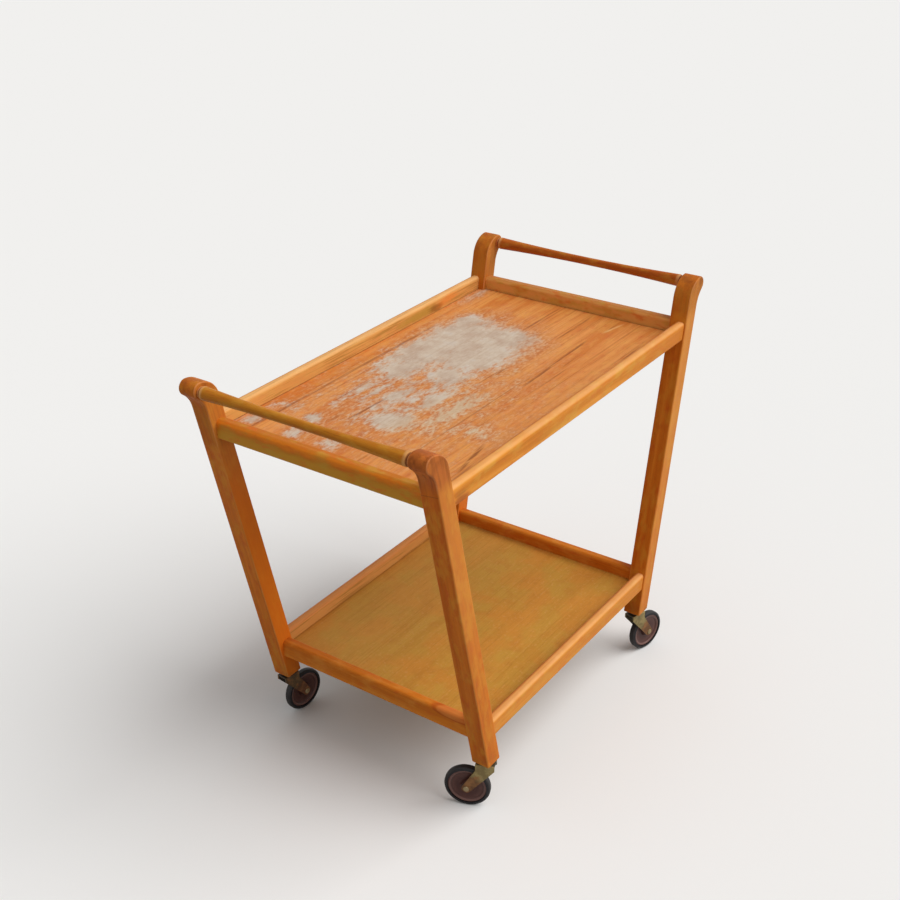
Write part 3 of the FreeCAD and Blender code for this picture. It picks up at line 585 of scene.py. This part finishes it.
# %% Top panel: bare wood
CHALK_DARK, CHALK_PALE, CHALK_COOL = paint(190, 172, 154), paint(208, 192, 172), paint(196, 184, 178)
GREY_LINES, FLECK_PALE, FLECK_DARK = paint(178, 150, 124), paint(216, 208, 196), paint(166, 138, 116)
CREAM_WOOD, FLAKE_DARK, FLAKE_PALE = paint(214, 182, 134), paint(178, 102, 58), paint(214, 158, 110)
CREAM_DEPTH, CREAM_TURN = 0.06, 0.1

chalk = cloud(stock, size=0.030, detail=4.0, seed=3.0)
grey = chalk.between(0.35, 0.65).tint(CHALK_DARK, CHALK_PALE)
grey = (chalk.between(0.55, 0.75) * 0.5).tint(grey, CHALK_COOL)
grey = (streaks.between(0.50, 0.70) * 0.30).tint(grey, GREY_LINES)
grey = (flecks.between(0.04, 0.22) * 0.30).tint(grey, FLECK_PALE)
grey = ((-flecks).between(0.06, 0.24) * 0.28).tint(grey, FLECK_DARK)
grey = ((-y - x * CREAM_TURN).between(0.0, CREAM_DEPTH) * 0.45).tint(grey, CREAM_WOOD)
flaking = flecks.between(-0.16, 0.16).tint(FLAKE_DARK, FLAKE_PALE)
colour = (fray * 0.66).tint(colour, flaking)
colour = (bare_and_shoulder_highlight * (chalk * 0.4 + 0.70)).tint(colour, grey)
print("top panel so far:", len(top_panel.node_tree.nodes), "nodes")

# %% [markdown]
# A few long dark streaks run through veneer and wear alike, because dirt has filled the open grain. One
# of them is the seam between two sheets of veneer, near the back. A pale scratch crosses the grain at the
# far end, and painted shade lies along the rails, where they meet the panel.

# %% Top panel: streaks and edges
DARK_STREAKS = [
    # start x, end x, y at the start, rise to the end, half width in metres, and strength
    (-0.300, 0.140, 0.1390, 0.001, 0.0011, 0.60),
    (-0.214, -0.176, 0.0640, 0.003, 0.0012, 0.65),
    (-0.204, -0.100, 0.0495, -0.003, 0.0009, 0.65),
    (-0.170, -0.060, 0.0980, 0.000, 0.0007, 0.45),
    (0.170, 0.292, 0.0190, 0.000, 0.0008, 0.65),
    (-0.016, 0.070, -0.0290, -0.004, 0.0011, 0.75),
    (0.170, 0.292, -0.0390, 0.000, 0.0008, 0.60),
    (-0.270, 0.060, -0.0740, -0.002, 0.0007, 0.40),
    (0.012, 0.204, -0.0850, 0.007, 0.0009, 0.70),
    (0.090, 0.165, -0.0980, 0.004, 0.0007, 0.50),
    (-0.020, 0.110, -0.1040, 0.000, 0.0007, 0.40),
    (0.230, 0.292, -0.0850, 0.000, 0.0007, 0.50),
    (-0.236, -0.144, -0.1490, 0.016, 0.0012, 0.80),
    (-0.270, -0.190, -0.1560, 0.005, 0.0010, 0.50),
    (0.150, 0.250, -0.1540, 0.004, 0.0008, 0.45),
]
SCRATCH = (0.228, 0.288, -0.0822, -0.0114)
SCRATCH_WIDTHS, SCRATCH_FADES = (0.0008, 0.0030), (0.022, 0.020)
STREAK_FADES = (0.03, 0.03)
CONTACT_SHADE_REACH = 0.0040
STREAK_DIRT, SCRATCH_PALE, CONTACT_SHADE = paint(126, 62, 26), paint(242, 196, 130), paint(112, 64, 30)
end_face_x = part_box("top_rail_right")[0][0]


def line_mask(start, end, start_y, rise, widths, fades, waver):
    """1 on a slanted line of the panel, which wavers, softens over the widths and fades at both ends."""
    off = abs(y - start_y - (x - start) * (rise / (end - start)) + waver)
    ends = x.between(start, start + fades[0]) * (1 - x.between(end - fades[1], end))
    return (1 - off.between(*widths)) * ends


broken = fibres(stock, length=0.060, width=0.0030, detail=4.0, seed=71.0)
shiver = (broken - 0.5) * 0.004
waver = (bands - 0.5) * 0.006 + shiver
for *line, half, strength in DARK_STREAKS:
    streak = line_mask(*line, (half, half * 3), STREAK_FADES, waver) * broken.between(0.30, 0.55)
    colour = (streak * strength).tint(colour, STREAK_DIRT)
scratch = line_mask(*SCRATCH, SCRATCH_WIDTHS, SCRATCH_FADES, shiver)
colour = (scratch * 0.50).tint(colour, SCRATCH_PALE)
# Painted shade along the rails, on the edges of the panel.
contact_shade = abs(y).between(inner_face_y - CONTACT_SHADE_REACH, inner_face_y)
contact_shade = contact_shade.most(abs(x).between(end_face_x - CONTACT_SHADE_REACH, end_face_x))
colour = (contact_shade * 0.60).tint(colour, CONTACT_SHADE)
rough = 0.42 + streaks * 0.12 + bare_and_shoulder_highlight * 0.34
relief = streaks * 0.35 - dashes * 0.6 - bare_and_shoulder_highlight * 0.4
close_finish(top_panel, VARNISH, {"Base Color": colour, "Roughness": rough}, relief)

# %% [markdown]
# The lower shelf was spared. Its veneer is a quiet olive tan with fine lines along X and soft clouds of
# warmer and greener tone, as thin varnish gives when it yellows. Towards the back it is paler.

# %% Lower panel
SHELF_OLIVE, SHELF_WARM, SHELF_BAND = paint(196, 146, 60), paint(205, 139, 57), paint(184, 124, 44)
SHELF_CLOUD, SHELF_FLECK, SHELF_BACK = paint(186, 118, 46), paint(214, 160, 90), paint(210, 160, 84)
SHELF_LINE, SHELF_BRIGHT_LINE = paint(168, 106, 38), paint(218, 166, 88)
SHELF_PORE, SHELF_CONTACT_SHADE = paint(150, 92, 36), paint(130, 80, 38)
SHELF_BACK_Y = (-0.05, 0.10)
SHELF_CONTACT_SHADE_REACH = 0.0058

lower_panel, stock = start_finish("lower_panel_veneer")
x, y, z = stock
streaks = fibres(stock, length=0.16, width=0.0024, detail=4.0, seed=41.0)
bands = fibres(stock, length=0.20, width=0.020, seed=43.0)
broad = cloud(stock, size=0.060, detail=4.0, seed=47.0)
middling = cloud(stock, size=0.022, detail=4.0, seed=53.0)
small = cloud(stock, size=0.005, seed=57.0)
dashes = pores(stock, seed=44.0)
colour = broad.between(0.38, 0.62).tint(SHELF_OLIVE, SHELF_WARM)
colour = (bands.between(0.46, 0.68) * 0.45).tint(colour, SHELF_BAND)
colour = (middling.between(0.48, 0.68) * 0.35).tint(colour, SHELF_CLOUD)
colour = (small.between(0.52, 0.72) * 0.35).tint(colour, SHELF_FLECK)
colour = (y.between(*SHELF_BACK_Y) * 0.25).tint(colour, SHELF_BACK)
colour = (streaks.between(0.52, 0.72) * 0.30).tint(colour, SHELF_LINE)
colour = ((1 - streaks).between(0.58, 0.74) * 0.25).tint(colour, SHELF_BRIGHT_LINE)
colour = (dashes * 0.24).tint(colour, SHELF_PORE)
# Painted shade along the rails, on the edges of the shelf.
contact_shade = abs(y).between(inner_face_y - SHELF_CONTACT_SHADE_REACH, inner_face_y)
colour = (contact_shade * 0.40).tint(colour, SHELF_CONTACT_SHADE)
rough = 0.48 + streaks * 0.12
relief = streaks * 0.35 - dashes * 0.6
close_finish(lower_panel, VARNISH, {"Base Color": colour, "Roughness": rough}, relief)

# %% [markdown]
# The castors are old and cheap: brassed forks that have gone dull and rusty, steel pins, brown moulded
# wheels and black rubber tyres. Their wear goes round the axle, so each finish first needs the distance
# from it. The joints of the packed model tell where each axle is and which way it points.

# %% Round the axle
CORNERS = ("front_left", "back_left", "front_right", "back_right")
joints = {joint["name"]: joint for joint in frame["joints"]}
spins = {corner: joints["spin_" + corner] for corner in CORNERS}


def round_axle(place, corner):
    """How far a point is from the line of its axle, and how far along that line from the wheel's middle."""
    shifts = [wire - at for wire, at in zip(place, spins[corner]["pos_m"])]
    off = place[0].add("CombineXYZ", {}, dict(zip("XYZ", shifts)))
    far = off.add("VectorMath", {"operation": "LENGTH"}, {0: off}, "Value")
    axis = spins[corner]["axis"]
    sideways = off.add("VectorMath", {"operation": "DOT_PRODUCT"}, {0: off, 1: axis}, "Value")
    squared = (far * far - sideways * sideways).most(0.0)
    return squared.math("SQRT", squared), abs(sideways)


print("axles at", [[round(v, 3) for v in spins[corner]["pos_m"]] for corner in CORNERS])

# %% [markdown]
# Rust is a rough, unmetallic patch, so one mask drives colour, metal and roughness together. On the forks
# it gathers towards the axle, and their inside is painted black as shade. The fork at the back left corner
# takes darker tones and more rust, painted shade for its place under the trolley.

# %% Castor metal
FORK_INSIDE, INSIDE_SHADE_EDGE = 0.0075, 0.0004
RUSTY_RADII = (0.012, 0.034)
RUST_DARK, RUST_PALE, FORK_INSIDE_SHADE = paint(104, 62, 34), paint(150, 96, 54), paint(40, 36, 32)
# Bright and dull tone of each metal, and its share of rust
BRASSED = (paint(158, 142, 90), paint(120, 102, 60), 0.06)
SHADED_BRASS = (paint(116, 92, 56), paint(80, 60, 38), 0.20)
PIN_STEEL = (paint(172, 152, 114), paint(140, 120, 86), 0.0)
SOCKET_STEEL = (paint(92, 84, 70), paint(60, 54, 46), 0.30)


def castor_metal(name, bright, dull, rust_share, seed, corner=None):
    """Worn metal with rust; with a corner, rust gathers at its axle and painted shade darkens the fork
    inside.
    """
    material, place = start_finish(name)
    lumps = cloud(place, size=0.009, detail=4.0, seed=seed)
    specks = cloud(place, size=0.0022, seed=seed + 5.0)
    spread = lumps * 0.7 + specks * 0.3 + rust_share * 0.3
    if corner:
        radius, sideways = round_axle(place, corner)
        spread = spread + (1 - radius.between(*RUSTY_RADII)) * 0.30
    rust = spread.between(0.54, 0.74)
    colour = lumps.between(0.35, 0.65).tint(dull, bright)
    colour = (specks.between(0.50, 0.75) * 0.3).tint(colour, dull)
    colour = (rust * 0.85).tint(colour, lumps.between(0.4, 0.7).tint(RUST_DARK, RUST_PALE))
    metal = 0.45 - rust * 0.35
    rough = 0.48 + rust * 0.26 + specks * 0.1
    if corner:
        # Painted shade: the inside of the fork is darkened nearly black.
        inside_shade = 1 - sideways.between(FORK_INSIDE - INSIDE_SHADE_EDGE, FORK_INSIDE)
        colour = (inside_shade * 0.80).tint(colour, FORK_INSIDE_SHADE)
        metal = metal * (1 - inside_shade)
    varied = {"Base Color": colour, "Metallic": metal, "Roughness": rough}
    return close_finish(material, {}, varied, specks * 0.6 + rust * 0.8)


forks = {}
for corner in CORNERS:
    # The back left fork takes darker tones, painted shade for its place under the trolley.
    metal = SHADED_BRASS if corner == "back_left" else BRASSED
    forks[corner] = castor_metal("brassed_fork_" + corner, *metal, seed=3.0, corner=corner)
pin_metal = castor_metal("steel_pins", *PIN_STEEL, seed=13.0)
socket_metal = castor_metal("dark_socket_steel", *SOCKET_STEEL, seed=19.0)

# %% [markdown]
# The wheels and tyres are plain. The moulded wheels grow paler from the hub outwards, their raised rims
# carry a pale painted highlight, and they are darker just inside the rim and round the hub. Dust dulls
# the tread of the tyres.

# %% Wheels and tyres
HUB, DISH = (0.0070, 0.0110), (0.0130, 0.0225)
RIM_INSIDE, RIM_OUTSIDE, TREAD = 0.0230, 0.0270, 0.0310
RIM_INNER_EDGE, RIM_OUTER_EDGE = 0.0006, 0.0010
UNDER_RIM_REACH, UNDER_RIM_EDGE, DUST_DEPTH = 0.0030, 0.0012, 0.0015
SHINE = {"Specular IOR Level": 0.25}
MOULDING, MOULDING_DUSTY = paint(74, 38, 32), paint(92, 55, 47)
DISH_PALE, RIM_HIGHLIGHT = paint(128, 90, 80), paint(140, 106, 98)
RIM_DARK, HUB_DARK = paint(44, 26, 24), paint(60, 34, 27)
RUBBER, RUBBER_DUSTY, TREAD_DUST = paint(27, 25, 27), paint(44, 41, 41), paint(64, 60, 58)


def wheel_disc(corner):
    """Brown moulding with a raised rim."""
    material, place = start_finish("brown_wheel_" + corner)
    radius = round_axle(place, corner)[0]
    dust = cloud(place, size=0.008, detail=4.0, seed=2.0)
    colour = dust.between(0.45, 0.75).tint(MOULDING, MOULDING_DUSTY)
    colour = (radius.between(*DISH) * 0.30).tint(colour, DISH_PALE)
    # Painted highlight on the raised rim.
    rim = radius.between(RIM_INSIDE - RIM_INNER_EDGE, RIM_INSIDE + RIM_INNER_EDGE)
    rim = rim * (1 - radius.between(RIM_OUTSIDE - RIM_OUTER_EDGE, RIM_OUTSIDE + RIM_OUTER_EDGE))
    colour = (rim * 0.50).tint(colour, RIM_HIGHLIGHT)
    # Darker just inside the rim and round the hub.
    under_rim = radius.between(RIM_INSIDE - UNDER_RIM_REACH, RIM_INSIDE)
    under_rim = under_rim * (1 - radius.between(RIM_INSIDE - UNDER_RIM_EDGE, RIM_INSIDE))
    colour = (under_rim * 0.5).tint(colour, RIM_DARK)
    colour = ((1 - radius.between(*HUB)) * 0.6).tint(colour, HUB_DARK)
    varied = {"Base Color": colour, "Roughness": 0.28 + dust * 0.16}
    return close_finish(material, SHINE, varied, dust, depth=0.0001)


def wheel_tyre(corner):
    """Black rubber with dust on the tread."""
    material, place = start_finish("black_tyre_" + corner)
    radius = round_axle(place, corner)[0]
    dust = cloud(place, size=0.007, detail=4.0, seed=6.0)
    colour = dust.between(0.48, 0.78).tint(RUBBER, RUBBER_DUSTY)
    tread = radius.between(TREAD - DUST_DEPTH, TREAD)
    colour = (tread * (dust * 0.8 + 0.05)).tint(colour, TREAD_DUST)
    varied = {"Base Color": colour, "Roughness": 0.46 + dust * 0.16}
    return close_finish(material, SHINE, varied, dust)


discs = {corner: wheel_disc(corner) for corner in CORNERS}
tyres = {corner: wheel_tyre(corner) for corner in CORNERS}

# %% [markdown]
# Each piece now takes its finish. The names of the pieces say what they are, so a short table from the
# start of a name to a material is enough. The first opening that fits counts, so the long rails come
# before the end rails.

# %% Dress the pieces
FINISHES = {
    "leg_": legs,
    "handle_bar_": bars,
    "top_rail_front": long_rails,
    "top_rail_back": long_rails,
    "lower_rail_front": long_rails,
    "lower_rail_back": long_rails,
    "top_rail_": top_end_rails,
    "lower_rail_": lower_end_rails,
    "top_panel": top_panel,
    "lower_panel": lower_panel,
    "castor_socket_": socket_metal,
    "castor_race_": socket_metal,
    "castor_stem_": pin_metal,
    "castor_axle_": pin_metal,
}
for corner in CORNERS:
    FINISHES["castor_fork_" + corner] = forks[corner]
    FINISHES["wheel_disc_" + corner] = discs[corner]
    FINISHES["wheel_tyre_" + corner] = tyres[corner]
for name, piece in frame["nodes"].items():
    finish = next(material for opening, material in FINISHES.items() if name.startswith(opening))
    piece.data.materials.clear()
    piece.data.materials.append(finish)
print("dressed", len(frame["nodes"]), "pieces in", len(set(FINISHES.values())), "finishes")

# %% [markdown]
# A pale floor and soft light keep the eye on the trolley. The camera sees the floor and the sky nearly
# white. To the light that bounces about they are darker, or the shaded end of the trolley would be washed
# out. The Light Path node tells the two kinds of ray apart.

# %% Floor and sky
FLOOR_REACH = 12.0
FLOOR_LIGHT, FLOOR_SEEN = paint(165, 163, 160), paint(243, 242, 240)
SKY_LIGHT, SKY_SEEN = 0.42, 0.875


def seen_directly(graph):
    """1 for rays of the camera and of mirror and glass, 0 for light on its way round the room."""
    kinds = ("Is Camera Ray", "Is Glossy Ray", "Is Transmission Ray")
    return reduce(Wire.most, [Wire.node(graph, "LightPath", out=kind) for kind in kinds])


floor_mesh = bpy.data.meshes.new("floor")
corners = [(sx * FLOOR_REACH, sy * FLOOR_REACH, 0.0) for sx, sy in ((-1, -1), (1, -1), (1, 1), (-1, 1))]
floor_mesh.from_pydata(corners, [], [(0, 1, 2, 3)])
floor = bpy.data.objects.new("floor", floor_mesh)
bpy.context.scene.collection.objects.link(floor)
pale = bpy.data.materials.new("pale_floor")
pale.use_nodes = True
floor_tone = seen_directly(pale.node_tree).tint(FLOOR_LIGHT, FLOOR_SEEN)
close_finish(pale, {"Roughness": 0.95, "Specular IOR Level": 0.0}, {"Base Color": floor_tone})
floor_mesh.materials.append(pale)

world = bpy.data.worlds.new("sky")
bpy.context.scene.world = world
world.use_nodes = True
sky = world.node_tree.nodes["Background"]
sky.inputs["Color"].default_value = (1.0, 1.0, 1.0, 1.0)
strength = seen_directly(world.node_tree) * (SKY_SEEN - SKY_LIGHT) + SKY_LIGHT
world.node_tree.links.new(strength.socket, sky.inputs["Strength"])
print("floor", FLOOR_REACH * 2, "m wide, sky light", SKY_LIGHT)

# %% [markdown]
# One broad lamp stands high on the long side, like a bright overcast sky. It is a sun with a very wide
# disc, so that the floor is lit evenly and the shadows are soft. Tops and long faces are bright, and the
# near end stays in shade.

# %% Lamp
KEY_STRENGTH = 2.35
KEY_SPREAD = math.radians(55)
KEY_FROM = Vector((0.30, -0.62, 0.78))

key = bpy.data.lights.new("key", "SUN")
key.energy = KEY_STRENGTH
key.angle = KEY_SPREAD
holder = bpy.data.objects.new("key", key)
holder.rotation_euler = (-KEY_FROM).to_track_quat("-Z", "Y").to_euler()
bpy.context.scene.collection.objects.link(holder)
bpy.context.scene.view_settings.view_transform = "Standard"
print("key lamp from", [round(v, 2) for v in KEY_FROM.normalized()])

# %% [markdown]
# The looks must not change the size. Last, the view layer is brought up to date.

# %% Bring the scene up to date
bpy.context.view_layer.update()
